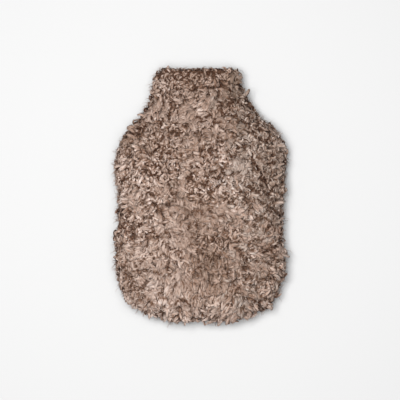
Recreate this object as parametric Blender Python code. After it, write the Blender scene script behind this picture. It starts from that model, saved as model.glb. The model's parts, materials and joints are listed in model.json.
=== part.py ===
"""Curly shearling cover for a hot water bottle, lying on its back.

Two panels of shearling, each one thick wall of hide and pile, meet along the seam that runs down both sides and
round the bottom. Between them is the pocket for the bottle, open at the mouth of the neck. +Y runs from the bottom
edge to the mouth, +Z up from the surface that the cover lies on. Metres.
"""

from collections import namedtuple
from math import cos, exp, hypot, pi, sin, sqrt

import bmesh
import bpy
from mathutils import Vector, noise

LENGTH = 0.360  # bottom edge to mouth, pile included
WALL = 0.018  # hide and pile together
SEAM_GAP = 0.0003  # between the two panels
SEAM_CLEAR = 0.0015  # the least height of the pile beside the seam above or below it

# How far the pile reaches to each side of the centre line, at a distance along from the bottom edge.
Outline = namedtuple("Outline", "along left right")
OUTLINE = (
    Outline(0.000, 0.044, 0.042),
    Outline(0.005, 0.061, 0.057),
    Outline(0.013, 0.077, 0.078),
    Outline(0.025, 0.095, 0.098),
    Outline(0.039, 0.107, 0.106),
    Outline(0.053, 0.115, 0.111),
    Outline(0.069, 0.119, 0.118),
    Outline(0.092, 0.121, 0.120),
    Outline(0.128, 0.120, 0.117),
    Outline(0.162, 0.117, 0.115),
    Outline(0.188, 0.117, 0.119),
    Outline(0.206, 0.121, 0.121),
    Outline(0.236, 0.119, 0.121),
    Outline(0.254, 0.116, 0.119),
    Outline(0.266, 0.112, 0.115),
    Outline(0.277, 0.103, 0.105),
    Outline(0.288, 0.089, 0.089),
    Outline(0.299, 0.080, 0.075),
    Outline(0.312, 0.074, 0.068),
    Outline(0.324, 0.071, 0.063),
    Outline(0.336, 0.069, 0.059),
    Outline(0.347, 0.068, 0.057),
    Outline(0.355, 0.064, 0.056),
    Outline(0.360, 0.056, 0.052),
)

# Heights of the underside and of the front's crown above the surface.
# The underside is a little under 0 where the pile is pressed flat.
Depth = namedtuple("Depth", "along under crown")
DEPTHS = (
    Depth(0.000, -0.001, 0.068),
    Depth(0.050, -0.003, 0.073),
    Depth(0.120, -0.004, 0.078),
    Depth(0.200, -0.004, 0.077),
    Depth(0.265, -0.003, 0.070),
    Depth(0.310, -0.002, 0.060),
    Depth(0.360, -0.001, 0.057),
)
# The seam lies in one plane, which slopes down to the mouth.
SEAM_AT_BOTTOM = 0.037
SEAM_AT_MOUTH = 0.029
BOTTOM_ROUND = 0.040  # how far along the bottom edge takes to reach full depth
MOUTH_ROUND = 0.010
MOUTH_DROP = 0.22  # share of the depth that the mouth's rounded edge gives up

FRONT_FULLNESS = 2.5  # power of the rounded section: 2 is an ellipse, more is squarer
BACK_FULLNESS = 3.4

TUFT_PITCH = 0.0165
TUFT_RISE = 0.0056  # from a parting up to a tuft's top
TUFT_LEVEL = 0.62  # the share of the rise that lies inside the measured outline
LOCK_RISE = 1.6  # along the seam the tufts stand out as locks, this many times as far
CLUMP_PITCH = 0.050
CLUMP_RISE = 0.0020

# The hem's crease across the front of the neck.
CREASE_BELOW_MOUTH = 0.031
CREASE_DEPTH = 0.0045
CREASE_HALF_WIDTH = 0.0045
CREASE_REACH = 0.052  # to each side of the centre line

ROWS = 64  # along the cover, even
FRONT_COLUMNS = 46  # from the right seam to the left one, even
BACK_COLUMNS = 30
FLAT_SHARE = 0.25  # the back's columns stand this much closer at its sides than where it is pressed flat
FINE_STEPS = 400  # samples used to space rows and columns

SHEARLING = (0.30, 0.21, 0.165, 1.0)


def value_at(table, column, along):
    """The named column of a table at a distance along, eased between its rows without overshoot."""
    rows = [(row.along, getattr(row, column)) for row in table]
    slopes = [(b[1] - a[1]) / (b[0] - a[0]) for a, b in zip(rows, rows[1:])]
    leans = [slopes[0]]
    for before, after in zip(slopes, slopes[1:]):
        product = before * after
        leans.append(0.0 if product <= 0 else 2 * product / (before + after))
    leans.append(slopes[-1])
    along = min(max(along, rows[0][0]), rows[-1][0])
    i = next(i for i in range(len(slopes)) if along <= rows[i + 1][0])
    span = rows[i + 1][0] - rows[i][0]
    t = (along - rows[i][0]) / span
    return (
        rows[i][1] * (1 + 2 * t) * (1 - t) ** 2
        + span * leans[i] * t * (1 - t) ** 2
        + rows[i + 1][1] * t * t * (3 - 2 * t)
        + span * leans[i + 1] * t * t * (t - 1)
    )


def roundness(along, inset):
    """The share of the full depth at a distance along: it falls to 0 at the bottom edge and a little at the mouth."""
    from_bottom = min(max((along - inset) / (BOTTOM_ROUND - inset), 0.0), 1.0)
    share = sqrt(1 - (1 - from_bottom) ** 2)
    if inset == 0:
        past = max((along - LENGTH + MOUTH_ROUND) / MOUTH_ROUND, 0.0)
        share *= 1 - MOUTH_DROP * (1 - sqrt(1 - min(past, 1.0) ** 2))
    return share


def seam_height(along):
    return SEAM_AT_BOTTOM + (SEAM_AT_MOUTH - SEAM_AT_BOTTOM) * along / LENGTH


def section_point(along, turn, inset, front):
    """A point of the rounded section at a distance along. turn runs from 0 at the right seam to 1 at the left one.

    The inner face keeps its width where the outer one rounds in at the mouth.
    """
    abreast = along if inset == 0 else min(along, LENGTH - MOUTH_ROUND)
    right = value_at(OUTLINE, "right", abreast) - inset
    left = value_at(OUTLINE, "left", abreast) - inset
    seam = seam_height(along)
    share = roundness(along, inset)
    if front:
        power, rise = FRONT_FULLNESS, value_at(DEPTHS, "crown", along) - inset - seam
    else:
        power, rise = BACK_FULLNESS, value_at(DEPTHS, "under", along) + inset - seam
    across, up = cos(pi * turn), sin(pi * turn)
    across = abs(across) ** (2 / power) * (1 if across > 0 else -1)
    up = max(up, 0.0) ** (2 / power)
    half_width = (right + left) / 2
    return Vector(((right - left) / 2 + half_width * across, along, seam + rise * share * up))


def evenly_spaced(points, count):
    """The shares of the way through points at which count + 1 marks lie evenly along them, fewer below the surface."""
    reached = [0.0]
    for a, b in zip(points, points[1:]):
        share = FLAT_SHARE if a.z < 0 and b.z < 0 else 1.0
        reached.append(reached[-1] + share * (b - a).length)
    marks, i = [], 0
    for k in range(count + 1):
        wanted = reached[-1] * k / count
        while i < len(points) - 2 and reached[i + 1] < wanted:
            i += 1
        step = reached[i + 1] - reached[i]
        marks.append((i + (wanted - reached[i]) / step) / (len(points) - 1))
    return marks


def row_places(inset, count):
    """Distances along for the rows, evenly spaced down the right edge, so that they crowd where it turns."""
    start = inset
    fine = [start + (LENGTH - start) * (k / FINE_STEPS) ** 2 for k in range(FINE_STEPS + 1)]
    edge = [
        Vector((value_at(OUTLINE, "right", y) - inset, y, roundness(y, inset) * BOTTOM_ROUND))
        for y in fine
    ]
    return [start + (LENGTH - start) * share**2 for share in evenly_spaced(edge, count)]


def smooth_grid(inset, front, finer):
    """Rows of points over one half of the cover, from the bottom edge to the mouth."""
    rows = ROWS // finer
    columns = (FRONT_COLUMNS if front else BACK_COLUMNS) // finer
    grid = []
    for along in row_places(inset, rows):
        fine = [section_point(along, k / FINE_STEPS, inset, front) for k in range(FINE_STEPS + 1)]
        turns = evenly_spaced(fine, columns)
        grid.append([section_point(along, turn, inset, front) for turn in turns])
    return grid


def outward(grid, i, j, front):
    """The direction out of the cover at a point of the grid. Along the seam it stays level."""
    rows, columns = len(grid) - 1, len(grid[0]) - 1
    if i == 0:
        slant = (grid[0][j].x - grid[0][columns // 2].x) / hypot(grid[0][0].x, BOTTOM_ROUND)
        return Vector((slant, -1, 0)).normalized()
    if j in (0, columns):
        edge = grid[min(i + 1, rows)][j] - grid[i - 1][j]
        side = 1 if j == 0 else -1
        return Vector((side * edge.y, -side * edge.x, 0)).normalized()
    up = grid[min(i + 1, rows)][j] - grid[i - 1][j]
    over = grid[i][j + 1] - grid[i][j - 1]
    return (over.cross(up) * (-1 if front else 1)).normalized()


def tuft_height(point):
    """How far the pile stands at a point, from the tufts and from the larger clumps they lie in."""
    nearest, _ = noise.voronoi(point / TUFT_PITCH)
    dome = 1 - (1 - min(nearest[1] - nearest[0], 1.0)) ** 2
    return TUFT_RISE * (dome - TUFT_LEVEL) + CLUMP_RISE * noise.noise(point / CLUMP_PITCH)


def crease_depth(point, front):
    """The hem's crease across the front of the neck."""
    if not front:
        return 0.0
    off = (point.y - LENGTH + CREASE_BELOW_MOUTH) / CREASE_HALF_WIDTH
    aside = (point.x / CREASE_REACH) ** 4
    return CREASE_DEPTH * exp(-off * off - aside)


def tufted_grid(front):
    """The outer face: the smooth half with its pile raised in tufts and pressed flat on the surface."""
    grid = smooth_grid(0.0, front, 1)
    last = len(grid[0]) - 1
    tufted = []
    for i, row in enumerate(grid):
        line = []
        for j, point in enumerate(row):
            on_seam = i == 0 or j in (0, last)
            rise = tuft_height(point) * (LOCK_RISE if on_seam else 1.0)
            way = outward(grid, i, j, front)
            if i == ROWS:
                way = Vector((way.x, 0.35, way.z)).normalized()
            moved = point + way * (rise - crease_depth(point, front))
            if on_seam:
                moved.z = seam_height(moved.y)
            elif front:
                moved.z = max(moved.z, seam_height(moved.y) + SEAM_CLEAR)
            else:
                moved.z = min(max(moved.z, 0.0), seam_height(moved.y) - SEAM_CLEAR)
            line.append(moved)
        tufted.append(line)
    return tufted


def border_of(verts):
    """The vertices round a grid: along the bottom edge, up the left seam, back across the mouth, down the right seam."""
    return (
        verts[0]
        + [row[-1] for row in verts[1:]]
        + verts[-1][-2::-1]
        + [row[0] for row in verts[-2:0:-1]]
    )


def add_grid(mesh, grid, flip):
    verts = [[mesh.verts.new(point) for point in row] for row in grid]
    for below, above in zip(verts, verts[1:]):
        for k in range(len(below) - 1):
            face = [below[k], above[k], above[k + 1], below[k + 1]]
            mesh.faces.new(face[::-1] if flip else face)
    return verts


def join_borders(mesh, fine, coarse, flip):
    """Closes the wall's edge between the outer border and the inner one, which has half as many points."""
    for k, near in enumerate(coarse):
        a, b, c = fine[2 * k], fine[2 * k + 1], fine[(2 * k + 2) % len(fine)]
        far = coarse[(k + 1) % len(coarse)]
        for face in ((a, b, near), (b, far, near), (b, c, far)):
            mesh.faces.new(face[::-1] if flip else face)


def panel(name, front):
    """One panel: its tufted outer face, its smooth inner face and the edges that join them."""
    half_gap = Vector((0, 0, SEAM_GAP / 2 if front else -SEAM_GAP / 2))
    outer = [[point + half_gap for point in row] for row in tufted_grid(front)]
    if not front:
        outer = [[Vector((p.x, p.y, max(p.z, 0.0))) for p in row] for row in outer]
    inner = smooth_grid(WALL, front, 2)
    inner = [[point + half_gap for point in row] for row in inner]
    mesh = bmesh.new()
    outer_verts = add_grid(mesh, outer, flip=not front)
    inner_verts = add_grid(mesh, inner, flip=front)
    join_borders(mesh, border_of(outer_verts), border_of(inner_verts), flip=not front)
    bmesh.ops.triangulate(mesh, faces=mesh.faces[:])
    bmesh.ops.recalc_face_normals(mesh, faces=mesh.faces[:])
    data = bpy.data.meshes.new(name)
    mesh.to_mesh(data)
    mesh.free()
    data.shade_smooth()
    data.materials.append(shearling(name))
    obj = bpy.data.objects.new(name, data)
    bpy.context.scene.collection.objects.link(obj)
    return obj


def shearling(name):
    """Matt taupe pile."""
    material = bpy.data.materials.new(name + "_pile")
    material.use_nodes = True
    shader = material.node_tree.nodes["Principled BSDF"]
    shader.inputs["Base Color"].default_value = SHEARLING
    shader.inputs["Roughness"].default_value = 0.95
    shader.inputs["Metallic"].default_value = 0.0
    return material


def centre_over_origin(panels):
    """Moves the panels so that the middle of their box stands over the origin."""
    points = [vert.co for obj in panels for vert in obj.data.vertices]
    middle_x = (min(p.x for p in points) + max(p.x for p in points)) / 2
    middle_y = (min(p.y for p in points) + max(p.y for p in points)) / 2
    for obj in panels:
        obj.location = (-middle_x, -middle_y, 0)


def main():
    for obj in list(bpy.data.objects):
        bpy.data.objects.remove(obj)
    centre_over_origin([panel("front_panel", True), panel("back_panel", False)])


main()
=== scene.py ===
import json
from collections import defaultdict, namedtuple
from math import pi, radians

import bmesh
import bpy
import numpy as np
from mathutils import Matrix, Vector, noise
from mathutils.bvhtree import BVHTree

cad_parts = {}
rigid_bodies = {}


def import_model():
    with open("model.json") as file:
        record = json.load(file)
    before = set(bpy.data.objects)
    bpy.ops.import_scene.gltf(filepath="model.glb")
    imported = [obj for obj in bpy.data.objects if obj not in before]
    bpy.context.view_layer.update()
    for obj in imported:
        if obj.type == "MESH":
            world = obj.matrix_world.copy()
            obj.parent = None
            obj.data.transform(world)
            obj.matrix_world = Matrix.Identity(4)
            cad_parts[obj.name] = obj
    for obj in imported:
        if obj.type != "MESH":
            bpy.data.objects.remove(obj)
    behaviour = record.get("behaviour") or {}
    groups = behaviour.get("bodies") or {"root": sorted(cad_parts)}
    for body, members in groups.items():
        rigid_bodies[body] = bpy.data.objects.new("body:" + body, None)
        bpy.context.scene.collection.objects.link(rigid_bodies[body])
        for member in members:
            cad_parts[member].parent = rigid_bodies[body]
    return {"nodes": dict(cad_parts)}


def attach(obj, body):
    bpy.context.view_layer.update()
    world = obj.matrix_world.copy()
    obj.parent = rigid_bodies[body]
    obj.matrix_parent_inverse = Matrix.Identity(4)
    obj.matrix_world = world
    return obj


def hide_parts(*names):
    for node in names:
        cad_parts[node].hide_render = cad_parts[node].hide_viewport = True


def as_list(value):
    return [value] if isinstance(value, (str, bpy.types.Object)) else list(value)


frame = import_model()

scene = bpy.context.scene
collection = scene.collection
for name in ("Cube", "Light", "Camera"):  # what a new file holds
    if name in bpy.data.objects:
        bpy.data.objects.remove(bpy.data.objects[name])
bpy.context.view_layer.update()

# Metres and degrees, but for the tables of places. Seen from the front, +X is right and +Y is up the cover.


class Nodes:  # puts nodes into one tree; an input is a value or another node's socket
    def __init__(self, tree):
        self.tree = tree

    def give(self, socket, value):
        if isinstance(value, bpy.types.NodeSocket):
            self.tree.links.new(value, socket)
        else:
            socket.default_value = value

    def place(self, kind, inputs=None, **settings):
        made = self.tree.nodes.new(kind)
        for name, value in settings.items():
            setattr(made, name, value)
        for key, value in (inputs or {}).items():
            self.give(made.inputs[key], value)
        return made

    def first(self, kind, inputs=None, **settings):  # a new node's first output
        return self.place(kind, inputs, **settings).outputs[0]

    def maths(self, operation, *values):
        return self.first("ShaderNodeMath", dict(enumerate(values)), operation=operation)

    def add(self, a, b):
        return self.maths("ADD", a, b)

    def subtract(self, a, b):
        return self.maths("SUBTRACT", a, b)

    def divide(self, a, b):
        return self.maths("DIVIDE", a, b)

    def multiply(self, product, *others):
        for other in others:
            product = self.maths("MULTIPLY", product, other)
        return product

    def vectors(self, operation, *values):
        return self.first("ShaderNodeVectorMath", dict(enumerate(values)), operation=operation)

    def scale(self, vector, by):
        return self.first("ShaderNodeVectorMath", {0: vector, "Scale": by}, operation="SCALE")

    def parts(self, vector):
        return self.place("ShaderNodeSeparateXYZ", {0: vector}).outputs

    def joined(self, x, y, z=0.0):
        return self.first("ShaderNodeCombineXYZ", {0: x, 1: y, 2: z})

    def remap(self, value, low, high, toLow, toHigh, smooth=False):
        inputs = dict(enumerate((value, low, high, toLow, toHigh)))
        kind = "SMOOTHSTEP" if smooth else "LINEAR"
        return self.first("ShaderNodeMapRange", inputs, interpolation_type=kind)

    def noise(self, vector, scale, detail, output="Fac", **more):
        inputs = {"Vector": vector, "Scale": scale, "Detail": detail, **more}
        return self.place("ShaderNodeTexNoise", inputs).outputs[output]

    def ramp(self, factor, stops):  # stops are pairs of a position and a colour
        made = self.place("ShaderNodeValToRGB", {"Fac": factor})
        elements = made.color_ramp.elements
        for element, (position, colour) in zip(list(elements), (stops[0], stops[-1])):
            element.position, element.color = position, colour
        for position, colour in stops[1:-1]:
            elements.new(position).color = colour
        return made.outputs[0]


def linear(*shown):  # a colour given as on screen
    parts = [part / 255 for part in shown]
    return (*[v / 12.92 if v <= 0.04045 else ((v + 0.055) / 1.055) ** 2.4 for v in parts], 1.0)


def meshObject(name, verts, faces, edges=(), holder=collection):
    mesh = bpy.data.meshes.new(name)
    mesh.from_pydata([tuple(v) for v in verts], edges, faces)
    obj = bpy.data.objects.new(name, mesh)
    holder.objects.link(obj)
    return obj


def share(value, start, over):  # 0 before start, rising to 1 over a distance, which may be negative
    return np.clip((value - start) / over, 0.0, 1.0)


def spotTable(fields, *rows):  # places round a middle, all three given in millimetres
    Spot = namedtuple("Spot", "x y reach " + fields)
    return [Spot(x / 1000, y / 1000, reach / 1000, *rest) for x, y, reach, *rest in rows]


def lowerHalf(y):
    return share(y, 0.02, -0.06)


wool = {
    # From the darkest lock to the palest, as on screen.
    "tones": (
        (0.0, (121, 99, 84)), (0.25, (154, 132, 118)), (0.5, (181, 160, 147)),
        (0.75, (199, 183, 174)), (1.0, (214, 204, 198)),
    ),
    # Painted shade: the share of the tone that is left, from the shaded root of a lock to where it is out in
    # the open.
    "paintedShadeRamp": ((0.0, (0.08, 0.034, 0.016, 1)), (0.35, (0.36, 0.272, 0.218, 1)), (1.0, (1, 0.99, 0.99, 1))),
    "openFrom": 0.75,  # how far along a lock it is quite out of the painted shade at its root
    "tucksFrom": 0.78,  # where its tip starts to turn under, and painted shade starts there
    "paintedTipShade": 0.40,
    "streaks": (0.35, 0.65),  # noise that makes the darkest fibre, and the palest
    "darkFibre": (0.66, 0.53, 0.445),
    "paleFibre": (0.56, 0.76, 0.92),  # what the palest fibre has more than the darkest
    # Painted shade round a lock's sides and underside, and what its lit top has more.
    "rimPaintedShade": (0.15, 0.075, 0.040),
    "rimPaintedShadeLift": (0.85, 0.965, 1.045),
    "warmCast": (1.0, 0.998, 0.975),
    "greyCast": (-0.018, 0.052, 0.090),  # what the greyer wool has more than the warm one
    "sheenRoughness": 0.45,
    "sheenTint": (1.0, 0.93, 0.88, 1.0),
    "specular": 0.1,
}


def buildWoolColour():  # tone runs from grey brown to pale beige, along from a lock's root to its tip; root, tip and rim get painted shade
    tree = bpy.data.node_groups.new("woolColour", "ShaderNodeTree")
    for name, default in (("Tone", 0.5), ("Along", 1.0), ("Streak", 0.5), ("Rim", 1.0), ("Grey", 0.0)):
        socket = tree.interface.new_socket(name, in_out="INPUT", socket_type="NodeSocketFloat")
        socket.default_value = default
    tree.interface.new_socket("Color", in_out="OUTPUT", socket_type="NodeSocketColor")
    nodes = Nodes(tree)
    given = nodes.place("NodeGroupInput").outputs
    colour = nodes.ramp(given["Tone"], [(at, linear(*shown)) for at, shown in wool["tones"]])
    # Painted shade: darker down at a lock's root, and at its tip where it turns under the next lock.
    outOfPaintedShade = nodes.remap(given["Along"], 0.0, wool["openFrom"], 0.0, 1.0, smooth=True)
    paintedTipShade = nodes.remap(given["Along"], wool["tucksFrom"], 1.0, 1.0, wool["paintedTipShade"], smooth=True)
    depth = nodes.ramp(nodes.multiply(outOfPaintedShade, paintedTipShade), wool["paintedShadeRamp"])
    colour = nodes.vectors("MULTIPLY", colour, depth)
    fibre = nodes.remap(given["Streak"], *wool["streaks"], 0.0, 1.0)
    for amount, more, least in (
        (fibre, wool["paleFibre"], wool["darkFibre"]),
        (given["Rim"], wool["rimPaintedShadeLift"], wool["rimPaintedShade"]),
        (given["Grey"], wool["greyCast"], wool["warmCast"]),
    ):
        tint = nodes.vectors("ADD", nodes.scale(more, amount), least)
        colour = nodes.vectors("MULTIPLY", colour, tint)
    nodes.place("NodeGroupOutput", {"Color": colour})
    return tree


woolColour = buildWoolColour()


def shadedMaterial(name, look):
    material = bpy.data.materials.new(name)
    material.use_nodes = True
    shader = material.node_tree.nodes["Principled BSDF"]
    for socket, value in (
        ("Roughness", look["roughness"]), ("Sheen Weight", look["sheen"]), ("Sheen Tint", wool["sheenTint"]),
        ("Sheen Roughness", wool["sheenRoughness"]), ("Specular IOR Level", wool["specular"]),
    ):
        shader.inputs[socket].default_value = value
    return material, Nodes(material.node_tree), shader


def finishMaterial(nodes, shader, look, colour, height):
    strength, depth = look["bump"]
    bump = nodes.place("ShaderNodeBump", {"Height": height, "Strength": strength, "Distance": depth})
    nodes.give(shader.inputs["Base Color"], colour)
    nodes.give(shader.inputs["Normal"], bump.outputs[0])


def woolOf(nodes, **inputs):
    made = nodes.place("ShaderNodeGroup", node_tree=woolColour)
    for name, value in inputs.items():
        nodes.give(made.inputs[name], value)
    return made.outputs[0]


toneSteps = 25  # a lock's map is one step wide, and its step is its tone
lockWool = {
    "roughness": 0.85,
    "sheen": 0.03,
    "bump": (0.6, 0.0006),  # strength and depth
    "fibres": (110.0, 6.0, 1.0),  # across a lock, and along it
    "fibreRoughness": 0.75,
    "mapMargin": 0.05,  # the share of a step that a lock's map leaves free at each side
    "rim": (-0.1, 0.8, 0.08, 1.0),  # painted shade: a lock is darker round its sides and underside than on its lit top
}


def woolMaterial():  # reads the locks' map: tone across, root to tip upward, greyer locks above warm ones; painted shade comes from both
    material, nodes, shader = shadedMaterial("curlyWool", lockWool)
    uv = nodes.first("ShaderNodeUVMap", uv_map="OFBake")
    across, upward, _ = nodes.parts(uv)
    halves = nodes.multiply(upward, 2.0)
    fine = nodes.vectors("MULTIPLY", uv, lockWool["fibres"])
    streak = nodes.noise(fine, 1.0, 2.0, Roughness=lockWool["fibreRoughness"])
    steps = nodes.multiply(across, float(toneSteps))
    tone = nodes.divide(nodes.maths("FLOOR", steps), float(toneSteps))
    margin = lockWool["mapMargin"]
    around = nodes.subtract(nodes.maths("FRACT", steps), margin)
    # Painted shade round the lock: its sides and underside are darker than its top.
    facing = nodes.maths("SINE", nodes.multiply(around, 2 * pi / (1 - 2 * margin)))
    rim = nodes.remap(facing, *lockWool["rim"])
    along, grey = nodes.maths("FRACT", halves), nodes.maths("FLOOR", halves)
    colour = woolOf(nodes, Tone=tone, Along=along, Streak=streak, Rim=rim, Grey=grey)
    finishMaterial(nodes, shader, lockWool, colour, streak)
    return material


underWool = {
    "roughness": 0.95,
    "sheen": 0.04,
    "bump": (0.8, 0.002),
    "cloudScale": 60.0,
    "curlScale": 330.0,
    "curlBend": 2.5,
    "fibreScale": 900.0,
    "curls": (0.35, 0.65),  # noise that makes the painted shade between two curls, and a curl's top
    "tops": (0.02, -0.04, 0.28, 0.55),  # from one height up the cover to another, how far the curls' tops come out of the painted shade
    "grey": (0.01, 0.07, 0.1, 0.9),  # from one place across to another, how grey it is
}


def mattedMaterial():  # the dense wool under the locks, with painted shade between its curls
    material, nodes, shader = shadedMaterial("mattedWool", underWool)
    spot = nodes.place("ShaderNodeTexCoord").outputs["Object"]
    cloud = nodes.noise(spot, underWool["cloudScale"], 2.0)
    curl = nodes.noise(spot, underWool["curlScale"], 2.0, Distortion=underWool["curlBend"])
    fibre = nodes.noise(spot, underWool["fibreScale"], 1.0)
    across, height, _ = nodes.parts(spot)
    grey = nodes.remap(across, *underWool["grey"])
    depth = nodes.remap(curl, *underWool["curls"], 0.0, nodes.remap(height, *underWool["tops"]))
    colour = woolOf(nodes, Tone=cloud, Along=depth, Streak=fibre, Grey=grey)
    finishMaterial(nodes, shader, underWool, colour, curl)
    return material


hideSide = {
    "roughness": 0.9,
    "sheen": 0.25,
    "bump": (0.3, 0.0003),
    "cloudScale": 35.0,
    "napScale": 900.0,
    "colours": ((0.35, (112, 92, 78)), (0.65, (140, 118, 102))),  # as on screen
}


def suedeMaterial():  # the hide's inner face
    material, nodes, shader = shadedMaterial("suede", hideSide)
    spot = nodes.place("ShaderNodeTexCoord").outputs["Object"]
    nap = nodes.noise(spot, hideSide["napScale"], 3.0)
    cloud = nodes.noise(spot, hideSide["cloudScale"], 2.0)
    colour = nodes.ramp(cloud, [(at, linear(*shown)) for at, shown in hideSide["colours"]])
    finishMaterial(nodes, shader, hideSide, colour, nap)
    return material


curlyWool, mattedWool, suede = woolMaterial(), mattedMaterial(), suedeMaterial()
print("materials ready")

mattedPile = {  # the pelts: the hide with the dense wool that the locks stand in
    "sunk": (0.0028, 0.0060, 0.0056),  # below the solid's own tufts, along X, Y and Z
    "sunkAtMouth": 0.0018,  # along Y
    "mouthFrom": 0.1,
    "lowerRaised": 0.0016,  # in the lower half, where the pile is matted
    "outwardLean": 0.15,  # faces that look less far outward than this carry no pile
    "coreAcross": 0.6,  # outward is away from a core, this share of the cover's width and length
    "coreAlong": 0.8,
    "coreHeight": 0.034,
    "underSky": 0.2,  # faces that look at least this far up carry pile where nothing is over them
    "pressedBelow": 0.0005,
    "pressedTo": 0.0006,
}
seamLine = {"atBottom": 0.037, "atMouth": 0.029, "length": 0.360, "nearer": 0.0009}
Pelt = namedtuple("Pelt", "piece points faces outside")


def seamHeight(y):
    along = y + seamLine["length"] / 2
    return seamLine["atBottom"] + (seamLine["atMouth"] - seamLine["atBottom"]) * along / seamLine["length"]


def outwardFaces(points, faces, normals, up):  # those away from the pocket, or with nothing over them
    middles = points[faces].mean(axis=1)
    core = middles * (mattedPile["coreAcross"], mattedPile["coreAlong"], 0.0)
    away = middles - (core + (0.0, 0.0, mattedPile["coreHeight"]))
    away /= np.linalg.norm(away, axis=1)[:, None]
    outside = (away * normals).sum(axis=1) > mattedPile["outwardLean"]
    tree = BVHTree.FromPolygons([tuple(p) for p in points], [tuple(int(i) for i in face) for face in faces])
    sky = Vector((0, 0, up))
    for i in np.nonzero(~outside & (normals[:, 2] * up > mattedPile["underSky"]))[0]:
        outside[i] = tree.ray_cast(Vector(middles[i]) + sky * 0.0005, sky)[0] is None
    return outside


def makePelt(node, name, up):
    data = frame["nodes"][node].data.copy()
    mesh = bmesh.new()
    mesh.from_mesh(data)
    bmesh.ops.remove_doubles(mesh, verts=mesh.verts, dist=1e-5)
    bmesh.ops.recalc_face_normals(mesh, faces=mesh.faces)
    mesh.to_mesh(data)
    mesh.free()
    data.name = name
    piece = bpy.data.objects.new(name, data)
    collection.objects.link(piece)
    points = np.array([v.co for v in data.vertices])
    faces = np.array([p.vertices[:] for p in data.polygons])
    normals = np.array([p.normal for p in data.polygons])
    areas = np.array([p.area for p in data.polygons])
    outside = outwardFaces(points, faces, normals, up)
    outward = np.zeros_like(points)
    for corner in range(3):
        np.add.at(outward, faces[outside, corner], normals[outside] * areas[outside, None])
    lengths = np.linalg.norm(outward, axis=1)
    onOutside = lengths > 0
    outward[onOutside] /= lengths[onOutside, None]
    onSeam = np.abs(points[:, 2] - seamHeight(points[:, 1])) < seamLine["nearer"]
    outward[onSeam, 2] = 0
    sinkBy = np.tile(mattedPile["sunk"], (len(points), 1))
    sinkBy[points[:, 1] > mattedPile["mouthFrom"], 1] = mattedPile["sunkAtMouth"]
    sinkBy[:, 2] -= mattedPile["lowerRaised"] * lowerHalf(points[:, 1])
    sunk = points - outward * sinkBy
    pressed = points[:, 2] < mattedPile["pressedBelow"]
    sunk[:, 2] = np.where(pressed, mattedPile["pressedTo"], sunk[:, 2])  # the flat back stays on the surface
    data.materials.clear()
    data.materials.append(mattedWool)
    data.materials.append(suede)
    for polygon, out in zip(data.polygons, outside):
        polygon.material_index = 0 if out else 1
        polygon.use_smooth = True
    data.vertices.foreach_set("co", sunk.ravel())
    data.update()
    return Pelt(piece, sunk, faces, outside)


frontPelt = makePelt("front_panel", "frontPelt", 1)
backPelt = makePelt("back_panel", "backPelt", -1)
print("pelts ready:", frontPelt.outside.sum(), "and", backPelt.outside.sum(), "faces carry pile")

# Each lock grows from the origin along +Z and leans to +Y. It leaves the hide at rise, settles to settle and
# swings round by swing. leaf is half the width of its broad middle. strands are the fine ones beside it.
LockKind = namedtuple("LockKind", "name length rise settle swing sway gather leaf strands brushed")
lockKinds = (
    LockKind("tuft", 0.0125, 72, -40, 85, 0, 0.35, 0.0020, 1, False),
    LockKind("comma", 0.0135, 70, -40, 155, 0, 0.45, 0.0019, 1, False),
    LockKind("hook", 0.0145, 70, -34, 235, 0, 0.55, 0.0017, 1, False),
    LockKind("ring", 0.0160, 62, -14, 360, 0, 0.65, 0.0014, 1, False),
    LockKind("wave", 0.0140, 68, -36, 30, 80, 0.40, 0.0018, 1, False),
    LockKind("combed", 0.0165, 54, -24, 50, 26, 0.15, 0.0020, 2, True),
)
curls = {
    "copiesOfEach": 3,
    "seed": 11,
    "swingSpread": (0.8, 1.2),  # times the kind's own
    "swaySpread": (0.7, 1.2),
    "lengthSpread": (0.88, 1.12),
    "steps": 32,  # of the fine path that a lock follows
    "settlesEarly": 0.55,  # powers of the way along: a lock settles early and swings round late
    "swingsLate": 1.15,
    "gathers": 0.85,
    "rings": (0, 0.22, 0.45, 0.68, 0.89, 1.0),  # where along a lock its rings of points are
    "leafWidths": (0.7, 1.0, 1.05, 1.0, 0.8, 0),
    "leafReach": 0.95,
    "strandWidths": (0.8, 1.05, 1.0, 0.85, 0.6, 0),
    "strandSpread": 0.0018,  # of the side strands' roots
    "strandRadius": 0.00085,
    "strandReach": (0.82, 1.12),  # its length against the leaf's
    "strandSizes": (0.75, 1.25),
    "strandFlatness": 0.8,
    "strandLift": 0.0012,
    "flatness": 0.50,
    "combedFlatness": 0.34,
    "ridge": 0.14,  # of a leaf's radius
    "twist": 14,
    "wave": 0.00040,
    "waves": 1.4,  # along a lock
    "rootDepth": 0.0012,  # below the pelt's face
    # Where each map starts in a step of tone, and how wide it is. Combed locks get less painted shade round
    # the rim.
    "curlyAcross": (0.002, 0.036),
    "combedAcross": (0.003, 0.020),
    "strandAcross": (0.007, 0.012),
    "curlyAlong": (0.0, 1.0),
    "combedAlong": (0.43, 0.80),  # combed locks get neither the painted shade at the root nor at the tip
    "rootAlong": 0.012,  # keeps the root's end from having no area in the map
    "tipAlong": 0.999,
}
hairs = {
    "spacing": 0.0050,
    "onFace": 0.22,  # how many grow there, against those at the rim
    "length": 0.0125,
    "lengthSpread": (0.7, 1.25),
    "rise": 70,
    "settle": 15,
    "swing": 110,
    "sway": 40,
    "turn": 0.9,  # radians
    "rings": (0, 0.3, 0.55, 0.78, 1.0),
    "widths": (1, 1, 0.9, 0.7, 0),
    "radius": 0.00022,
    "across": (0.008, 0.010),
    "inTuft": 5,
    "rootSpread": 0.004,
    "copies": 6,
}
Guide = namedtuple("Guide", "share path swung")


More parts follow.
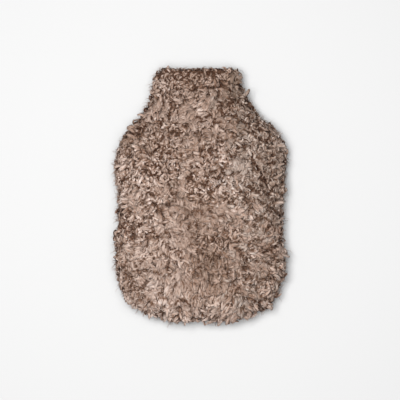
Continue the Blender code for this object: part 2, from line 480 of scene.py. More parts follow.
def sweep(shape, path, radii, sides, flatness, mapAcross, ridge=0.0, twist=0.0):  # a closed tapering tube
    first = len(shape["verts"])
    rings = len(path) - 1
    for k in range(rings):
        ahead = path[k + 1] - path[max(k - 1, 0)]
        ahead /= np.linalg.norm(ahead)
        side = np.cross(ahead, (0.0, 0.0, 1.0))
        side = side / np.linalg.norm(side) if np.linalg.norm(side) > 1e-3 else np.array((1.0, 0.0, 0.0))
        over = np.cross(side, ahead)
        for j in range(sides):
            turn = 2 * pi * j / sides + twist * k / rings
            wide = radii[k] * (1 + ridge * (-1) ** j)
            shape["verts"].append(path[k] + wide * (np.cos(turn) * side + flatness * np.sin(turn) * over))
            shape["along"].append(k / rings)
    shape["verts"].append(path[-1])
    shape["along"].append(1.0)
    tip = first + rings * sides

    def across(j):
        return mapAcross[0] + mapAcross[1] * j / sides

    for k in range(rings):
        low, high = k / rings, (k + 1) / rings
        for j in range(sides):
            a, b = first + k * sides + j, first + k * sides + (j + 1) % sides
            shape["uvs"] += [(across(j), low), (across(j + 1), low)]
            if k < rings - 1:
                shape["faces"].append((a, b, b + sides, a + sides))
                shape["uvs"] += [(across(j + 1), high), (across(j), high)]
            else:
                shape["faces"].append((a, b, tip))
                shape["uvs"].append((across(j + 0.5), curls["tipAlong"]))
    shape["faces"].append(tuple(first + j for j in reversed(range(sides))))
    shape["uvs"] += [(across(j), curls["rootAlong"] * (j % 2)) for j in reversed(range(sides))]


def spun(x, y, angle):
    return x * np.cos(angle) + y * np.sin(angle), y * np.cos(angle) - x * np.sin(angle)


def guidePath(kind, swing, sway, lengthShare):  # a lock's fine path, and the angle it has swung by along it
    s = np.linspace(0, 1, curls["steps"] + 1)
    rise = np.radians(kind.rise + (kind.settle - kind.rise) * s ** curls["settlesEarly"])
    swung = radians(swing) * s ** curls["swingsLate"] + radians(sway) * np.sin(2 * pi * s)
    heading = np.stack([np.sin(swung) * np.cos(rise), np.cos(swung) * np.cos(rise), np.sin(rise)], axis=1)
    step = kind.length * lengthShare / curls["steps"]
    return Guide(s, np.vstack([[0.0, 0.0, 0.0], np.cumsum(heading[:-1] * step, axis=0)]), swung)


def pathAt(guide, at):
    return np.stack([np.interp(at, guide.share, column) for column in guide.path.T], axis=1)


def strandPath(kind, guide, root, reach, lift, rng):  # one strand of a lock, starting at its own root
    at = np.array(curls["rings"])
    along = np.clip(at * reach, 0, 1)
    path = pathAt(guide, along)
    path += (path[-1] - path[-2]) * np.clip(at * reach - 1, 0, 1)[:, None]
    close = 1 - kind.gather * along ** curls["gathers"]
    aside, ahead = spun(*root, np.interp(along, guide.share, guide.swung))
    path[:, 0] += close * aside
    path[:, 1] += close * ahead
    path[:, 2] += lift * along
    phase = 2 * pi * along[:, None] * curls["waves"] + rng.uniform(0, 2 * pi, 3)
    path += curls["wave"] * np.sin(phase) * along[:, None]
    path[0, 2] -= curls["rootDepth"]
    return path


def emptyShape():
    return {"verts": [], "faces": [], "uvs": [], "along": []}


def finishShape(name, shape, holder, mapAlong):
    mesh = meshObject(name, shape["verts"], shape["faces"], holder=holder).data
    uvs = [(u, mapAlong[0] + (mapAlong[1] - mapAlong[0]) * v) for u, v in shape["uvs"]]
    mesh.uv_layers.new(name="OFBake").uv.foreach_set("vector", np.array(uvs, np.float32).ravel())
    along = mesh.attributes.new("along", "FLOAT", "POINT")
    along.data.foreach_set("value", np.array(shape["along"], np.float32))
    mesh.shade_smooth()
    mesh.materials.append(curlyWool)


def makeLock(name, kind, side, rng, holder):
    shape = emptyShape()
    swing = side * kind.swing * rng.uniform(*curls["swingSpread"])
    sway = side * kind.sway * rng.uniform(*curls["swaySpread"])
    guide = guidePath(kind, swing, sway, rng.uniform(*curls["lengthSpread"]))
    leaf = strandPath(kind, guide, (0, 0), curls["leafReach"], 0.0, rng)
    twist = radians(curls["twist"]) * rng.uniform(-1, 1)
    widths = np.array(curls["leafWidths"]) * kind.leaf
    flatness = curls["combedFlatness" if kind.brushed else "flatness"]
    across = curls["combedAcross" if kind.brushed else "curlyAcross"]
    sweep(shape, leaf, widths, 5, flatness, across, curls["ridge"], twist)
    for strand in range(kind.strands):
        turn = 2 * pi * (strand + rng.uniform(-0.25, 0.25)) / kind.strands
        root = np.array([np.cos(turn), 0.8 * np.sin(turn)]) * rng.uniform(0.8, 1.2) * curls["strandSpread"]
        reach = rng.uniform(*curls["strandReach"])
        path = strandPath(kind, guide, root, reach, rng.uniform(0.0, curls["strandLift"]), rng)
        radius = curls["strandRadius"] * rng.uniform(*curls["strandSizes"])
        widths = np.array(curls["strandWidths"]) * radius
        start, wide = curls["strandAcross"]
        across = (start + rng.integers(-1, 2) / toneSteps, wide)  # a step darker, the same, or a step paler
        sweep(shape, path, widths, 3, curls["strandFlatness"], across)
    finishShape(name, shape, holder, curls["combedAlong" if kind.brushed else "curlyAlong"])


def makeHairTuft(name, rng, holder):
    shape = emptyShape()
    kind = lockKinds[0]._replace(length=hairs["length"], rise=hairs["rise"], settle=hairs["settle"])
    for hair in range(hairs["inTuft"]):
        swing = rng.uniform(-hairs["swing"], hairs["swing"])
        sway = rng.uniform(-hairs["sway"], hairs["sway"])
        guide = guidePath(kind, swing, sway, rng.uniform(*hairs["lengthSpread"]))
        path = pathAt(guide, np.array(hairs["rings"]))
        turn = rng.uniform(-hairs["turn"], hairs["turn"])
        path[:, :2] = np.stack(spun(path[:, 0], path[:, 1], turn), axis=1)
        path[:, :2] += rng.uniform(-1, 1, 2) * hairs["rootSpread"]
        sweep(shape, path, np.array(hairs["widths"]) * hairs["radius"], 3, 1.0, hairs["across"])
    finishShape(name, shape, holder, curls["curlyAlong"])


lockHolder = bpy.data.collections.new("lockShapes")
hairHolder = bpy.data.collections.new("hairShapes")
rng = np.random.default_rng(curls["seed"])
lockNumber = 0
for kind in lockKinds:
    for side in (-1, 1):
        for copy in range(curls["copiesOfEach"]):
            makeLock(f"lock{lockNumber:02d}", kind, side, rng, lockHolder)
            lockNumber += 1
curlyLocks = 2 * curls["copiesOfEach"] * sum(not kind.brushed for kind in lockKinds)
hairNumber = hairs["copies"]
for copy in range(hairNumber):
    makeHairTuft(f"hair{copy:02d}", rng, hairHolder)
print("lock shapes ready:", lockNumber, "of", ", ".join(kind.name for kind in lockKinds))

# Thin partings, where the locks move apart and their roots get painted shade: how deep each is, and the
# places that it runs through, in millimetres.
partings = (
    (1.0, (-10, 149), (-4, 153), (14, 152), (30, 154), (43, 148)),
    (0.6, (-35, 152), (-23, 150)),
    (0.7, (-42, 136), (-41, 124), (-44, 108)),
    (1.0, (85, -27), (99, -15), (112, -27)),
    (1.0, (70, -45), (79, -35), (90, -30), (99, -36)),
    (0.5, (55, -35), (64, -35), (69, -38)),
    (0.9, (118, -62), (108, -65), (104, -71), (84, -80)),
    (0.8, (62, -3), (71, -10), (67, -20)),
    (0.9, (52, 110), (60, 104), (67, 102)),
    (1.0, (61, 93), (73, 86), (87, 80), (102, 78)),
    (0.8, (79, 110), (80, 101), (83, 92)),
    (1.0, (71, 54), (77, 44), (85, 32), (92, 22)),
    (0.8, (57, 18), (69, 12), (79, 5)),
    (1.0, (88, 7), (95, 3), (102, 8)),
    (0.9, (83, -7), (95, -13), (106, -4)),
    (0.7, (24, 44), (30, 39), (32, 30)),
    (0.7, (49, -70), (55, -75), (56, -85)),
    (0.8, (-66, -6), (-59, -17), (-51, -30), (-52, -42)),
    (0.8, (-18, -47), (-16, -40), (-6, -36)),
    (0.7, (-21, -32), (-16, -25), (-10, -20)),
    (1.0, (-73, -55), (-59, -56), (-54, -52), (-46, -50)),
    (0.8, (-66, -86), (-58, -84), (-51, -80), (-42, -87)),
    (0.6, (-3, -50), (-5, -62), (2, -73)),
    (1.0, (69, -142), (79, -148), (90, -142), (99, -149)),
    (0.8, (46, -140), (50, -131), (56, -124)),
    (0.7, (68, -123), (79, -116), (94, -116)),
    (0.8, (31, -98), (41, -104), (51, -105), (54, -111), (43, -120)),
    (0.9, (-36, -152), (-30, -143), (-20, -145), (-14, -152)),
    (0.7, (-81, -137), (-69, -147), (-68, -152)),
    (0.9, (-97, -125), (-83, -128), (-73, -120)),
    (0.8, (-52, -120), (-53, -134), (-63, -138)),
    (0.7, (-80, -104), (-67, -104), (-50, -109)),
)
partingLook = {
    "width": 0.0022,
    # how much painted shade a parting gets
    "dark": 0.85,
    "leanWidths": 3.0,  # how many widths away the locks still lean from it
    "lean": 1.3,
    "opens": 0.6,  # the share of its width that the tips move aside
}


def partingLines():  # a wire under the front, lower where a parting is shallow
    verts, edges = [], []
    for depth, *ends in partings:
        ends = np.array(ends) / 1000
        drop = -partingLook["width"] * (1 - depth)
        first = len(verts)
        for k in np.linspace(0, len(ends) - 1, 4 * len(ends)):
            x, y = (np.interp(k, range(len(ends)), ends[:, axis]) for axis in (0, 1))
            verts.append((x, y, drop))
        edges += [(i, i + 1) for i in range(first, len(verts) - 1)]
    return meshObject("partingLines", verts, [], edges)


partingWire = partingLines()

pile = {
    "spacing": 0.0025,
    "densest": 3.0,  # places that are tried for each one that the spacing allows
    "size": 0.85,
    "sizeDrift": 0.16,  # from place to place
    "sizeSpread": 0.16,
    "rimShorter": 0.22,
    "mouthShorter": 0.18,  # along the mouth's edge
    "turnSpread": radians(20),
    "tiltSpread": radians(11),
    "waviness": 0.0015,
    "waveSize": 0.009,
    "toneSpread": 0.11,
    "toneRange": (0.06, 0.94),
    "combedDarker": 0.17,
    "combedCalmer": 0.75,  # how much less such locks differ
    "curledBigger": 0.07,
    "curledSparser": 0.12,
    "blotSize": 0.7,  # of the greyer and the warmer blots: noise scale in units of a tuft
    "blotRange": (0.3, 0.7, 0.1, 0.9),
    "blotEdge": 0.1,
    "rootGives": 0.2,  # how far a lock's root moves where its tip moves by 1
    "floor": 0.0004,
    "floorGives": 0.1,  # the share of its depth below the floor that a point keeps
    "seed": 3,
    "napSeed": 12,  # for the swirls in the way it is combed
}
tufts = {  # locks that lie together, in one direction and with one kind of curl
    "across": 0.0095,
    "turn": radians(80),
    "gather": 0.9,  # how strongly its locks lean towards its middle
    "alike": 0.75,  # how many share its kind of lock
    "tone": 0.06,
    "edge": 0.16,  # how wide the gap between two tufts is
    # how much painted shade the gap between two tufts gets
    "dark": 0.22,
    "lift": 0.20,
    "level": 0.4,  # how near a tuft's edge its locks have their plain size
}
lumps = {  # smooth mats of many locks, with thin creases round them that get painted shade, mostly in the lower half
    "across": 0.0200,
    "bend": 0.35,  # how far their edges wander
    "bends": 1.6,  # noise scale in units of a lump
    "gather": 0.25,
    "crease": 0.065,  # its width against the lump's
    "sink": 0.0006,
    "bare": 0.93,  # no lock grows where a crease or a parting is deeper than this
    # how much painted shade a crease gets
    "dark": 0.62,
    "upper": 0.30,  # how strong they are in the upper half
}
ownInputs = (  # of the tree, different for each piece
    ("Shapes", "Collection"), ("Grow", "String"), ("Curly Shapes", "Int"), ("All Shapes", "Int"),
    ("Spacing", "Float"), ("Size", "Float"), ("Seed", "Int"), ("Parted", "Float"),
)
sharedInputs = [
    ("Copies", "Int", curls["copiesOfEach"]),
    ("Partings", "Object", partingWire),
    ("Wool", "Material", curlyWool),
]
for group, settings, keys in (  # such as "Tuft gather"
    ("Pile", pile, "sizeSpread turnSpread tiltSpread waviness waveSize toneSpread floor"),
    ("Tuft", tufts, "across turn gather alike tone edge dark lift"),
    ("Lump", lumps, "across bend gather crease sink bare dark"),
    ("Parting", partingLook, "width dark"),
):
    sharedInputs += [(f"{group} {key}", "Float", settings[key]) for key in keys.split()]
# What is added to the seed for each thing that is drawn.
draws = {
    "tone": 1, "turn": 2, "tiltAcross": 3, "tiltAlong": 4, "brushed": 5,
    "anyCurl": 6, "size": 8, "alike": 9, "copy": 10, "grey": 11,
}


def buildPileTree():  # grows locks on a surface that carries how they lie, how long they are and their tone
    tree = bpy.data.node_groups.new("growPile", "GeometryNodeTree")
    tree.is_modifier = True
    tree.interface.new_socket("Geometry", in_out="INPUT", socket_type="NodeSocketGeometry")
    for name, kind, *_ in (*ownInputs, *sharedInputs):
        tree.interface.new_socket(name, in_out="INPUT", socket_type="NodeSocket" + kind)
    tree.interface.new_socket("Geometry", in_out="OUTPUT", socket_type="NodeSocketGeometry")
    nodes = Nodes(tree)
    place, first, maths, vectors, remap = nodes.place, nodes.first, nodes.maths, nodes.vectors, nodes.remap
    add, subtract, multiply, divide = nodes.add, nodes.subtract, nodes.multiply, nodes.divide
    joined, scale = nodes.joined, nodes.scale
    given = place("NodeGroupInput").outputs
    here = first("GeometryNodeInputPosition")

    def named(name, kind="FLOAT"):
        return first("GeometryNodeInputNamedAttribute", {"Name": name}, data_type=kind)

    def stored(geometry, name, value, kind="FLOAT", domain="POINT"):
        inputs = {"Geometry": geometry, "Name": name, "Value": value}
        return first("GeometryNodeStoreNamedAttribute", inputs, data_type=kind, domain=domain)

    def moved(geometry, **how):
        return first("GeometryNodeSetPosition", {"Geometry": geometry, **how})

    def randomNumber(low, high, draw, kind="FLOAT"):
        seed = add(given["Seed"], float(draws[draw]))
        made = place("FunctionNodeRandomValue", data_type=kind)
        live = {socket.name: socket for socket in made.inputs if socket.enabled}
        for key, value in (("Min", low), ("Max", high), ("Seed", seed)):
            nodes.give(live[key], value)
        return next(socket for socket in made.outputs if socket.enabled)

    def spread(amount, draw):
        return randomNumber(multiply(amount, -1.0), amount, draw)

    def eitherWay(value):  # 0 to 1 made -1 to 1
        return subtract(multiply(value, 2.0), 1.0)

    def less(a, b):
        return first("FunctionNodeCompare", {0: a, 1: b}, data_type="FLOAT", operation="LESS_THAN")

    def chosen(test, ifTrue, ifFalse):
        return first("GeometryNodeSwitch", {0: test, 1: ifFalse, 2: ifTrue}, input_type="INT")

    def cells(at, **settings):
        return place("ShaderNodeTexVoronoi", {"Vector": at, "Scale": 1.0}, **settings).outputs

    def inUnits(size):
        return scale(here, divide(1.0, size))

    def wander(at, often, amount):
        drift = nodes.noise(at, often, 1.0, output="Color")
        return scale(vectors("SUBTRACT", drift, (0.5, 0.5, 0.5)), amount)

    densest = divide(1.0, maths("POWER", given["Spacing"], 2.0))
    scatter = place("GeometryNodeDistributePointsOnFaces", {
        "Mesh": given["Geometry"], "Distance Min": given["Spacing"], "Seed": given["Seed"],
        "Density Max": multiply(densest, pile["densest"]),
        "Density Factor": named(given["Grow"])}, distribute_method="POISSON").outputs

    # Lumps, and the creases round them.
    inLumps = inUnits(given["Lump across"])
    bend = wander(inLumps, lumps["bends"], multiply(given["Lump bend"], 2.0))
    inLumps = vectors("ADD", inLumps, bend)
    lump = cells(inLumps)
    ofLump = nodes.parts(lump["Color"])
    lumpInward = vectors("SUBTRACT", lump["Position"], inLumps)
    creaseAt = cells(inLumps, feature="DISTANCE_TO_EDGE")["Distance"]
    creased = remap(creaseAt, 0.0, given["Lump crease"], 1.0, 0.0, smooth=True)
    creased = multiply(creased, named("lumpy"))

    # Partings, from the wire below them.
    parts = nodes.parts(here)
    overhead = joined(parts[0], parts[1])
    lines = place("GeometryNodeObjectInfo", {"Object": given["Partings"]}).outputs["Geometry"]
    nearest = {"Geometry": lines, "Sample Position": overhead}
    nearest = place("GeometryNodeProximity", nearest, target_element="EDGES").outputs
    width = given["Parting width"]
    parted = remap(nearest["Distance"], 0.0, width, given["Parted"], 0.0, smooth=True)
    aside = vectors("SUBTRACT", overhead, nearest["Position"])
    aside = vectors("NORMALIZE", vectors("MULTIPLY", aside, (1.0, 1.0, 0.0)))
    leanWidth = multiply(width, partingLook["leanWidths"])
    leanMost = multiply(given["Parted"], partingLook["lean"])
    leansAside = remap(nearest["Distance"], 0.0, leanWidth, leanMost, 0.0)
    deepest = maths("MAXIMUM", parted, creased)

    # Tufts.
    inTufts = inUnits(given["Tuft across"])
    tuft = cells(inTufts)
    ofTuft = nodes.parts(tuft["Color"])
    toMiddle = vectors("SUBTRACT", tuft["Position"], inTufts)
    fromEdge = cells(inTufts, feature="DISTANCE_TO_EDGE")["Distance"]
    atEdge = remap(fromEdge, 0.0, given["Tuft edge"], 1.0, 0.0)
    calm = subtract(1.0, multiply(named("brushed"), pile["combedCalmer"]))

    # Each lock's tone, with painted shade in the gaps at a tuft's edge, and whether it is one of the greyer
    # ones.
    tone = add(named("tone"), multiply(spread(given["Pile toneSpread"], "tone"), calm))
    tone = add(tone, multiply(eitherWay(ofTuft[2]), given["Tuft tone"]))
    tone = subtract(tone, multiply(atEdge, given["Tuft dark"], calm))
    darkest, palest = pile["toneRange"]
    tone = first("ShaderNodeClamp", {0: tone, 1: darkest, 2: palest})
    points = stored(scatter["Points"], "lockTone", maths("SNAP", tone, 1.0 / toneSteps))
    points = stored(points, "outward", scatter["Normal"], "FLOAT_VECTOR")
    blots = remap(nodes.noise(inTufts, pile["blotSize"], 1.0), *pile["blotRange"])
    blots = add(blots, randomNumber(-pile["blotEdge"], pile["blotEdge"], "grey"))
    points = stored(points, "lockGrey", less(blots, named("grey")))

    # Which way it lies.
    way = named("comb", "FLOAT_VECTOR")
    for direction, amount in (
        (toMiddle, multiply(given["Tuft gather"], calm)),
        (lumpInward, multiply(given["Lump gather"], named("lumpy"))),
        (aside, leansAside),
    ):
        way = vectors("ADD", way, scale(direction, amount))
    alongWay = {"Rotation": scatter["Rotation"], "Vector": way}
    alongWay = first("FunctionNodeAlignRotationToVector", alongWay, axis="Y", pivot_axis="Z")
    tuftTurn = multiply(eitherWay(ofTuft[0]), given["Tuft turn"])
    turn = multiply(add(spread(given["Pile turnSpread"], "turn"), tuftTurn), calm)
    tilts = [spread(given["Pile tiltSpread"], draw) for draw in ("tiltAcross", "tiltAlong")]
    turned = joined(*[multiply(tilt, calm) for tilt in tilts], turn)
    turned = first("FunctionNodeEulerToRotation", {0: turned})
    spin = first("FunctionNodeRotateRotation", {0: alongWay, 1: turned}, rotation_space="LOCAL")

    # Which shape it has: most of a tuft's curls, and all combed locks of a lump, are copies of one kind.
    def firstOfKind(shapes, drawn):
        kinds = divide(shapes, given["Copies"])
        return multiply(maths("FLOOR", multiply(drawn, kinds)), given["Copies"])

    copy = randomNumber(0, subtract(given["Copies"], 1.0), "copy", "INT")
    anyCurl = randomNumber(0, subtract(given["Curly Shapes"], 1.0), "anyCurl", "INT")
    alike = less(randomNumber(0.0, 1.0, "alike"), given["Tuft alike"])
    curl = chosen(alike, add(firstOfKind(given["Curly Shapes"], ofTuft[1]), copy), anyCurl)
    combedShapes = subtract(given["All Shapes"], given["Curly Shapes"])
    combed = add(given["Curly Shapes"], firstOfKind(combedShapes, ofLump[0]))
    isBrushed = less(randomNumber(0.0, 1.0, "brushed"), named("brushed"))
    pick = chosen(isBrushed, add(combed, copy), curl)

    sizes = add(1.0, multiply(spread(given["Pile sizeSpread"], "size"), calm))
    sizes = multiply(given["Size"], sizes, named("lift"))
    fuller = multiply(subtract(tufts["level"], atEdge), given["Tuft lift"])
    sizes = multiply(sizes, add(1.0, fuller))
    shapes = {"Collection": given["Shapes"], "Separate Children": True, "Reset Children": True}
    locks = first("GeometryNodeInstanceOnPoints", {
        "Points": points, "Selection": less(deepest, given["Lump bare"]), "Pick Instance": True,
        "Instance": first("GeometryNodeCollectionInfo", shapes),
        "Instance Index": pick, "Rotation": spin, "Scale": sizes})
    locks = first("GeometryNodeRealizeInstances", {0: locks})

    # The locks wave a little, move apart at a parting, sink into a crease and get painted shade there, and
    # rest on the floor.
    along = named("along")
    often = divide(1.0, given["Pile waveSize"])
    locks = moved(locks, Offset=wander(here, often, multiply(given["Pile waviness"], 2.0, along)))
    atTip = add(pile["rootGives"], multiply(along, 1.0 - pile["rootGives"]))
    openBy = multiply(multiply(parted, atTip), multiply(width, partingLook["opens"]))
    sinkBy = multiply(multiply(deepest, atTip), multiply(given["Lump sink"], -1.0))
    sunken = scale(named("outward", "FLOAT_VECTOR"), sinkBy)
    partingPaintedShade = multiply(parted, given["Parting dark"])
    creaseAndPartingShade = maths("MAXIMUM", partingPaintedShade, multiply(creased, given["Lump dark"]))
    locks = stored(locks, "depthKept", subtract(1.0, creaseAndPartingShade))
    locks = moved(locks, Offset=vectors("ADD", scale(aside, openBy), sunken))
    under = subtract(given["Pile floor"], parts[2])
    pressed = add(given["Pile floor"], multiply(under, pile["floorGives"]))
    pressed = maths("MAXIMUM", parts[2], pressed)
    locks = moved(locks, Position=joined(parts[0], parts[1], pressed))

    # The map carries tone across, depth upward (less at partings and creases, for painted shade), and the
    # greyer locks in its upper half.
    ownMap = nodes.parts(named("OFBake", "FLOAT_VECTOR"))
    upward = add(multiply(ownMap[1], named("depthKept")), named("lockGrey"))
    placed = joined(add(ownMap[0], named("lockTone")), multiply(upward, 0.5))
    locks = stored(locks, "OFBake", placed, "FLOAT2", "CORNER")
    locks = first("GeometryNodeSetMaterial", {"Geometry": locks, "Material": given["Wool"]})
    place("NodeGroupOutput", {0: locks})
    return tree


pileTree = buildPileTree()
print("pile tree ready")

# Where the pile is combed. heading is the nap's direction, and fan how far it spreads out.
combedPatches = spotTable(
    "heading fan",
    (12, 134, 17, 250, 0.2), (-10, 114, 20, 215, 0.5), (66, 48, 20, 255, 0.5), (90, -55, 26, 50, 0.4),
    (60, -50, 20, 20, 0.4), (-46, -42, 24, 275, 0.5), (-20, -118, 28, 262, 0.4), (46, -142, 24, 290, 0.3),
)
# Where it is all small curls.
curledPlaces = spotTable(
    "",
    (-35, 165, 26), (30, 165, 24), (62, 128, 20), (95, 75, 30), (-70, 60, 40), (105, 0, 28),
    (-95, -50, 30), (20, -60, 22), (95, -115, 24),
)
nap = {
    "fanned": 0.25,  # outward at the cover's sides
    "halfWidth": 0.12,
    "down": -0.30,
    "swirl": 0.9,
    "swirlUp": 0.6,
    "swirlSize": 0.040,
    "brushed": 0.20,
    "brushedBelow": 0.50,  # more in the lower half
    "brushedDrift": 1.2,
    "driftSize": 0.028,
    "brushedMost": 0.85,
    "frontFrom": 0.03,  # patches lie above this height
    "patchStrength": 1.4,
    "curlsWin": 0.9,
}


def nearness(p, spot):
    return np.exp(-(((p.x - spot.x) ** 2 + (p.y - spot.y) ** 2) / spot.reach**2))


def napAt(p):  # the way the pile is combed at a point, how smoothly, and how curled it is
    swirl = noise.noise_vector(p / nap["swirlSize"])
    across = nap["fanned"] * p.x / nap["halfWidth"] + nap["swirl"] * swirl.x
    heading = Vector((across, nap["down"] + nap["swirl"] * swirl.y, nap["swirlUp"] * swirl.z))
    drift = nap["brushedDrift"] * noise.noise(p / nap["driftSize"] + Vector((2, 9, 4)))
    brushed = np.clip(nap["brushed"] + nap["brushedBelow"] * lowerHalf(p.y) + drift, 0.0, nap["brushedMost"])
    for patch in combedPatches:
        away = Vector((p.x - patch.x, p.y - patch.y, 0))
        near = np.exp(-((away.length / patch.reach) ** 2)) if p.z > nap["frontFrom"] else 0.0
        way = Vector((np.cos(radians(patch.heading)), np.sin(radians(patch.heading)), 0))
        way += patch.fan * away / patch.reach
        heading = heading.lerp(way, min(near * nap["patchStrength"], 1.0))
        brushed = max(brushed, near)
    curled = max(nearness(p, spot) for spot in curledPlaces)
    return heading, brushed * (1 - nap["curlsWin"] * curled), curled


# Painted shade and painted light: places made darker or lighter for how the light falls across the cover.
paintedLightAndShade = spotTable(
    "change",
    (45, 150, 26, -0.30), (-20, 168, 40, -0.10), (85, 80, 50, -0.22), (105, 10, 45, -0.19),
    (100, -110, 45, -0.30), (-100, 80, 30, -0.14), (-105, -35, 30, -0.12), (0, 118, 24, 0.03),
    (68, 46, 22, 0.16), (-30, 45, 55, -0.10), (-70, -60, 50, -0.03), (5, -90, 42, -0.29),
    (10, -20, 40, -0.06),
)
shading = {
    "tone": 0.56,
    "paintedShadeUp": 0.5,  # painted shade: darker by this for each metre up the cover
    "fine": 0.08,
    "fineSize": 0.022,
    "broad": 0.12,
    "broadSize": 0.060,
    "greyLeast": 0.04,
    "greyAtRight": 0.98,
    "greyFrom": (0.01, 0.06),  # where it starts across, and over how far
    "greyUpFrom": (-0.06, 0.08),
    "greyDrift": 0.25,
    "greySize": 0.035,
}


def toneAt(p):
    fine = shading["fine"] * noise.noise(p / shading["fineSize"])
    broad = shading["broad"] * noise.noise(p / shading["broadSize"] + Vector((7, 3, 1)))
    # Painted shade up the cover, and painted light and shade at the listed places, beside random tone.
    tone = shading["tone"] - shading["paintedShadeUp"] * p.y + fine + broad
    for shade in paintedLightAndShade:
        tone += shade.change * nearness(p, shade)
    return tone


def greyAt(p):  # how many of the locks there are the greyer ones
    side = share(p.x, *shading["greyFrom"]) * (0.5 + 0.5 * share(p.y, *shading["greyUpFrom"]))
    drift = shading["greyDrift"] * noise.noise(p / shading["greySize"] + Vector((4, 8, 6)))
    return np.clip(shading["greyLeast"] + shading["greyAtRight"] * side + drift, 0.0, 1.0)


zones = (-0.20, -0.095, -0.015, 0.065, 0.20)  # where the cover is divided into pieces, from bottom to mouth
places = {
    "driftSize": 0.030,  # of places with longer and with shorter locks
    "rimFacing": 0.7,  # faces that look less far up or down than this are at the rim
    "combedRim": 2.5,  # how much of the rim combed locks keep clear of
    "mouthEdge": (0.160, 0.008),
    "backGrow": 0.5,  # how many locks the back has, against the front
    "pressedBelow": 0.004,
    "pressedFacing": -0.6,
    "pressedGrow": 0.08,
    "pressedLift": 0.8,
}


def growingSurface(name, pelt, low, high, onBack):  # one zone of a pelt, with what the tree reads
    middles = pelt.points[pelt.faces].mean(axis=1)
    wanted = pelt.outside & (middles[:, 1] >= low) & (middles[:, 1] < high)
    used, index = np.unique(pelt.faces[wanted], return_inverse=True)
    surface = meshObject(name, pelt.points[used], index.reshape(-1, 3).tolist())
    mesh = bmesh.new()
    mesh.from_mesh(surface.data)
    bmesh.ops.subdivide_edges(mesh, edges=mesh.edges, cuts=1, use_grid_fill=True)
    mesh.to_mesh(surface.data)
    mesh.free()
    spots = np.array([v.co for v in surface.data.vertices])
    out = np.array([v.normal for v in surface.data.vertices])
    values = defaultdict(list)
    for spot, facing in zip(spots, out):
        p = Vector(spot)
        heading, brushed, curled = napAt(p)
        pressed = onBack and p.z < places["pressedBelow"] and facing[2] < places["pressedFacing"]
        atRim = 1 - share(abs(facing[2]), 0.0, places["rimFacing"])
        atMouth = share(p.y, *places["mouthEdge"])
        drift = pile["sizeDrift"] * 2 * noise.noise(p / places["driftSize"] + Vector((5, 1, 8)))
        size = (1 + pile["curledBigger"] * curled) * (1 + drift)
        shorter = (1 - pile["rimShorter"] * atRim) * (1 - pile["mouthShorter"] * atMouth)
        plenty = places["backGrow"] if onBack else 1.0 - pile["curledSparser"] * curled
        values["grow"].append(places["pressedGrow"] if pressed else plenty)
        values["lift"].append(places["pressedLift"] if pressed else size * shorter)
        values["tone"].append(toneAt(p) - pile["combedDarker"] * brushed)
        values["brushed"].append(0.0 if onBack else brushed * (1 - min(places["combedRim"] * atRim, 1.0)))
        values["lumpy"].append(lumps["upper"] + (1 - lumps["upper"]) * lowerHalf(p.y))
        values["fuzz"].append(0.0 if pressed else hairs["onFace"] + (1 - hairs["onFace"]) * atRim)
        values["grey"].append(greyAt(p))
        values["comb"] += list(heading)
    for key, numbers in values.items():
        vector = key == "comb"
        layer = surface.data.attributes.new(key, "FLOAT_VECTOR" if vector else "FLOAT", "POINT")
        layer.data.foreach_set("vector" if vector else "value", np.array(numbers, np.float32))
    return surface


def growPile(name, surface, own):  # the tree's result as a plain mesh
    modifier = surface.modifiers.new("growPile", "NODES")
    modifier.node_group = pileTree
    values = {name: value for name, _, value in sharedInputs}
    values.update(zip((name for name, _ in ownInputs), own))
    for item in pileTree.interface.items_tree:
        if item.item_type == "SOCKET" and item.in_out == "INPUT" and item.name in values:
            modifier[item.identifier] = values[item.name]
    mesh = bpy.data.meshes.new_from_object(surface.evaluated_get(bpy.context.evaluated_depsgraph_get()))
    mesh.name = name
    obj = bpy.data.objects.new(name, mesh)
    collection.objects.link(obj)
    surface.modifiers.remove(modifier)
    mesh.calc_loop_triangles()
    print(name, "has", len(mesh.loop_triangles), "triangles")
    return obj


grown = []
noise.seed_set(pile["napSeed"])
for side, pelt, onBack in (("front", frontPelt, False), ("back", backPelt, True)):
    for number, (low, high) in enumerate(zip(zones, zones[1:])):
        surface = growingSurface(f"{side}Growing{number}", pelt, low, high, onBack)
        seed = pile["seed"] + 10 * number + (100 if onBack else 0)
        for kind, own in (
            ("Locks", (lockHolder, "grow", curlyLocks, lockNumber, pile["spacing"], pile["size"], seed)),
            ("Hairs", (hairHolder, "fuzz", hairNumber, hairNumber, hairs["spacing"], 1.0, seed + 5)),
        ):
            own = (*own, 0.0 if onBack else 1.0)
            grown.append((growPile(f"{side}{kind}{number + 1}", surface, own), side))
        bpy.data.objects.remove(surface)
bpy.data.objects.remove(partingWire)
for holder in (lockHolder, hairHolder):
    for obj in list(holder.objects):
        bpy.data.objects.remove(obj)
    bpy.data.collections.remove(holder)
print("pile grown")

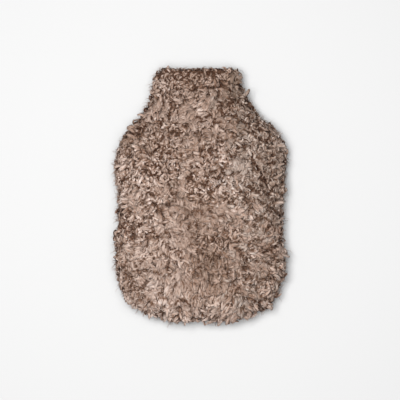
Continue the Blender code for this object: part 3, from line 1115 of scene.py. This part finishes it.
front, back = frontPelt.piece, backPelt.piece
for pelt, node, slot in ((front, "front_panel", "front_pile"), (back, "back_panel", "back_pile")):
    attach(pelt, "root")
    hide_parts(node)
for obj, side in grown:
    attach(obj, "root")
for side, pelt, under in (("front", front, [back]), ("back", back, [])):
    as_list(under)

studio = {
    "floorHalf": 3,
    "floorHeight": -0.0003,
    "paper": (0.472, 0.472, 0.472, 1),
    "paperRoughness": 0.9,
    "room": 0.145,  # the light that comes from all round
    # Each lamp's place, width and power.
    "keyLight": ((-0.27, 0.14, 2.23), 0.7, 54),
    "topLight": ((0.0, 0.0, 2.5), 1.4, 54),
    "pixel": 0.360 / 255,  # metres to a pixel of the 400 pixel frame
    "frame": 400,
    "middle": (200.5, 196.5),  # the cover's middle in that frame
    "cameraHeight": 2.6,
    "outlineHeight": 0.035,  # where the pixel has that size
    "sensor": 36,
}

reach, level = studio["floorHalf"], studio["floorHeight"]
corners = [(x * reach, y * reach, level) for x, y in ((-1, -1), (1, -1), (1, 1), (-1, 1))]
floor = meshObject("floor", corners, [(0, 1, 2, 3)])
paper = bpy.data.materials.new("paper")
paper.use_nodes = True
for socket, value in (("Base Color", studio["paper"]), ("Roughness", studio["paperRoughness"])):
    paper.node_tree.nodes["Principled BSDF"].inputs[socket].default_value = value
floor.data.materials.append(paper)

for name in ("keyLight", "topLight"):
    at, size, power = studio[name]
    data = bpy.data.lights.new(name, "AREA")
    data.size, data.energy = size, power
    lamp = bpy.data.objects.new(name, data)
    lamp.location = at
    lamp.rotation_euler = (-Vector(at)).to_track_quat("-Z", "Y").to_euler()
    collection.objects.link(lamp)
world = bpy.data.worlds.new("room")
world.use_nodes = True
for socket, value in (("Color", (1, 1, 1, 1)), ("Strength", studio["room"])):
    world.node_tree.nodes["Background"].inputs[socket].default_value = value
scene.world = world
scene.view_settings.view_transform = "Standard"

camera = bpy.data.objects.new("camera", bpy.data.cameras.new("camera"))
camera.data.sensor_fit = "HORIZONTAL"
camera.data.sensor_width = studio["sensor"]
width = studio["pixel"] * studio["frame"]
seenFrom = studio["cameraHeight"] - studio["outlineHeight"]
camera.data.lens = studio["sensor"] * seenFrom / width
offX = (studio["frame"] / 2 - studio["middle"][0]) * studio["pixel"]
offY = (studio["middle"][1] - studio["frame"] / 2) * studio["pixel"]
camera.location = (offX, offY, studio["cameraHeight"])
collection.objects.link(camera)
scene.camera = camera
print("floor, light and camera ready")
